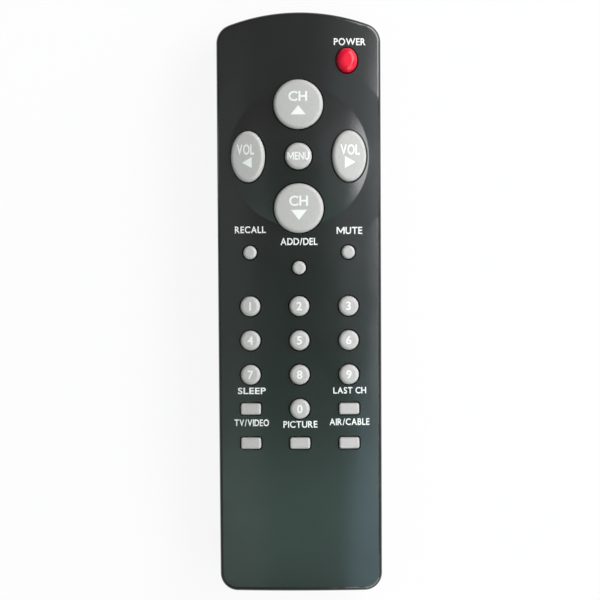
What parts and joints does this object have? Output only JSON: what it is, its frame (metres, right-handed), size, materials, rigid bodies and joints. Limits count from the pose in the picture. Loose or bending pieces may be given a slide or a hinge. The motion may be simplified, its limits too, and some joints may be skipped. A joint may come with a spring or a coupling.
{
  "type": "tv remote control",
  "caption": "Handheld infrared remote control with a crowned keypad face, sprung keys in an arrow cluster and a number pad, and a sliding battery door on the back.",
  "frame": {"origin": "middle of the flat back, on the surface that it lies on", "axes": "+X across to the right seen from the keypad side, +Y towards the emitter end, +Z out of the keypad face"},
  "size_m": [0.0504, 0.177, 0.0268],
  "materials": {
    "case_plastic": "fine satin texture",
    "grey_key": "satin",
    "red_key": "gloss",
    "window_plastic": "polished, dark red",
    "silicone": "matt",
    "carbon_rubber": "matt",
    "board_laminate": "bare laminate with copper tracks",
    "led_resin": "clear tinted resin",
    "package_resin": "moulded resin",
    "resonator_body": "dipped resin",
    "capacitor_sleeve": "heat-shrunk sleeve",
    "resistor_body": "lacquer",
    "cell": "plain wrap over the can",
    "contact_metal": "nickel plate",
    "screw_steel": "zinc plate"
  },
  "bodies": {
    "case": {"top_case": "case_plastic", "bottom_case": "case_plastic", "ir_window": "window_plastic", "keypad_mat": "silicone", "keypad_domes": "silicone", "contact_pills": "carbon_rubber", "circuit_board": "board_laminate", "ir_led": "led_resin", "controller_chip": "package_resin", "resonator": "resonator_body", "capacitor": "capacitor_sleeve", "driver_transistor": "package_resin", "resistors": "resistor_body", "battery_1": "cell", "battery_2": "cell", "contact_plate_positive": "contact_metal", "contact_plate_negative": "contact_metal", "contact_bridge": "contact_metal", "battery_springs": "contact_metal", "case_screws": "screw_steel", "board_screws": "screw_steel"},
    "door": {"battery_door": "case_plastic"},
    "key_power": {"key_power": "red_key"},
    "key_channel_up": {"key_channel_up": "grey_key"},
    "key_channel_down": {"key_channel_down": "grey_key"},
    "key_volume_down": {"key_volume_down": "grey_key"},
    "key_volume_up": {"key_volume_up": "grey_key"},
    "key_menu": {"key_menu": "grey_key"},
    "key_recall": {"key_recall": "grey_key"},
    "key_add": {"key_add": "grey_key"},
    "key_mute": {"key_mute": "grey_key"},
    "key_1": {"key_1": "grey_key"},
    "key_2": {"key_2": "grey_key"},
    "key_3": {"key_3": "grey_key"},
    "key_4": {"key_4": "grey_key"},
    "key_5": {"key_5": "grey_key"},
    "key_6": {"key_6": "grey_key"},
    "key_7": {"key_7": "grey_key"},
    "key_8": {"key_8": "grey_key"},
    "key_9": {"key_9": "grey_key"},
    "key_0": {"key_0": "grey_key"},
    "key_sleep": {"key_sleep": "grey_key"},
    "key_last_channel": {"key_last_channel": "grey_key"},
    "key_source": {"key_source": "grey_key"},
    "key_picture": {"key_picture": "grey_key"},
    "key_antenna": {"key_antenna": "grey_key"}
  },
  "joints": [
    {"name": "door_slide", "type": "slide", "parent": "case", "child": "door", "axis": [0, -1, 0], "range_m": [0, 0.0565]},
    {"name": "press_power", "type": "slide", "parent": "case", "child": "key_power", "axis": [0, 0, -1], "range_m": [0, 0.0011], "stiffness_N_per_m": 800, "springref_m": -0.0003, "deforming": ["keypad_domes", "contact_pills"]},
    {"name": "press_channel_up", "type": "slide", "parent": "case", "child": "key_channel_up", "axis": [0, 0, -1], "range_m": [0, 0.0011], "stiffness_N_per_m": 800, "springref_m": -0.0003, "deforming": ["keypad_domes", "contact_pills"]},
    {"name": "press_channel_down", "type": "slide", "parent": "case", "child": "key_channel_down", "axis": [0, 0, -1], "range_m": [0, 0.0011], "stiffness_N_per_m": 800, "springref_m": -0.0003, "deforming": ["keypad_domes", "contact_pills"]},
    {"name": "press_volume_down", "type": "slide", "parent": "case", "child": "key_volume_down", "axis": [0, 0, -1], "range_m": [0, 0.0011], "stiffness_N_per_m": 800, "springref_m": -0.0003, "deforming": ["keypad_domes", "contact_pills"]},
    {"name": "press_volume_up", "type": "slide", "parent": "case", "child": "key_volume_up", "axis": [0, 0, -1], "range_m": [0, 0.0011], "stiffness_N_per_m": 800, "springref_m": -0.0003, "deforming": ["keypad_domes", "contact_pills"]},
    {"name": "press_menu", "type": "slide", "parent": "case", "child": "key_menu", "axis": [0, 0, -1], "range_m": [0, 0.0011], "stiffness_N_per_m": 800, "springref_m": -0.0003, "deforming": ["keypad_domes", "contact_pills"]},
    {"name": "press_recall", "type": "slide", "parent": "case", "child": "key_recall", "axis": [0, 0, -1], "range_m": [0, 0.0011], "stiffness_N_per_m": 800, "springref_m": -0.0003, "deforming": ["keypad_domes", "contact_pills"]},
    {"name": "press_add", "type": "slide", "parent": "case", "child": "key_add", "axis": [0, 0, -1], "range_m": [0, 0.0011], "stiffness_N_per_m": 800, "springref_m": -0.0003, "deforming": ["keypad_domes", "contact_pills"]},
    {"name": "press_mute", "type": "slide", "parent": "case", "child": "key_mute", "axis": [0, 0, -1], "range_m": [0, 0.0011], "stiffness_N_per_m": 800, "springref_m": -0.0003, "deforming": ["keypad_domes", "contact_pills"]},
    {"name": "press_1", "type": "slide", "parent": "case", "child": "key_1", "axis": [0, 0, -1], "range_m": [0, 0.0011], "stiffness_N_per_m": 800, "springref_m": -0.0003, "deforming": ["keypad_domes", "contact_pills"]},
    {"name": "press_2", "type": "slide", "parent": "case", "child": "key_2", "axis": [0, 0, -1], "range_m": [0, 0.0011], "stiffness_N_per_m": 800, "springref_m": -0.0003, "deforming": ["keypad_domes", "contact_pills"]},
    {"name": "press_3", "type": "slide", "parent": "case", "child": "key_3", "axis": [0, 0, -1], "range_m": [0, 0.0011], "stiffness_N_per_m": 800, "springref_m": -0.0003, "deforming": ["keypad_domes", "contact_pills"]},
    {"name": "press_4", "type": "slide", "parent": "case", "child": "key_4", "axis": [0, 0, -1], "range_m": [0, 0.0011], "stiffness_N_per_m": 800, "springref_m": -0.0003, "deforming": ["keypad_domes", "contact_pills"]},
    {"name": "press_5", "type": "slide", "parent": "case", "child": "key_5", "axis": [0, 0, -1], "range_m": [0, 0.0011], "stiffness_N_per_m": 800, "springref_m": -0.0003, "deforming": ["keypad_domes", "contact_pills"]},
    {"name": "press_6", "type": "slide", "parent": "case", "child": "key_6", "axis": [0, 0, -1], "range_m": [0, 0.0011], "stiffness_N_per_m": 800, "springref_m": -0.0003, "deforming": ["keypad_domes", "contact_pills"]},
    {"name": "press_7", "type": "slide", "parent": "case", "child": "key_7", "axis": [0, 0, -1], "range_m": [0, 0.0011], "stiffness_N_per_m": 800, "springref_m": -0.0003, "deforming": ["keypad_domes", "contact_pills"]},
    {"name": "press_8", "type": "slide", "parent": "case", "child": "key_8", "axis": [0, 0, -1], "range_m": [0, 0.0011], "stiffness_N_per_m": 800, "springref_m": -0.0003, "deforming": ["keypad_domes", "contact_pills"]},
    {"name": "press_9", "type": "slide", "parent": "case", "child": "key_9", "axis": [0, 0, -1], "range_m": [0, 0.0011], "stiffness_N_per_m": 800, "springref_m": -0.0003, "deforming": ["keypad_domes", "contact_pills"]},
    {"name": "press_0", "type": "slide", "parent": "case", "child": "key_0", "axis": [0, 0, -1], "range_m": [0, 0.0011], "stiffness_N_per_m": 800, "springref_m": -0.0003, "deforming": ["keypad_domes", "contact_pills"]},
    {"name": "press_sleep", "type": "slide", "parent": "case", "child": "key_sleep", "axis": [0, 0, -1], "range_m": [0, 0.0011], "stiffness_N_per_m": 800, "springref_m": -0.0003, "deforming": ["keypad_domes", "contact_pills"]},
    {"name": "press_last_channel", "type": "slide", "parent": "case", "child": "key_last_channel", "axis": [0, 0, -1], "range_m": [0, 0.0011], "stiffness_N_per_m": 800, "springref_m": -0.0003, "deforming": ["keypad_domes", "contact_pills"]},
    {"name": "press_source", "type": "slide", "parent": "case", "child": "key_source", "axis": [0, 0, -1], "range_m": [0, 0.0011], "stiffness_N_per_m": 800, "springref_m": -0.0003, "deforming": ["keypad_domes", "contact_pills"]},
    {"name": "press_picture", "type": "slide", "parent": "case", "child": "key_picture", "axis": [0, 0, -1], "range_m": [0, 0.0011], "stiffness_N_per_m": 800, "springref_m": -0.0003, "deforming": ["keypad_domes", "contact_pills"]},
    {"name": "press_antenna", "type": "slide", "parent": "case", "child": "key_antenna", "axis": [0, 0, -1], "range_m": [0, 0.0011], "stiffness_N_per_m": 800, "springref_m": -0.0003, "deforming": ["keypad_domes", "contact_pills"]}
  ]
}
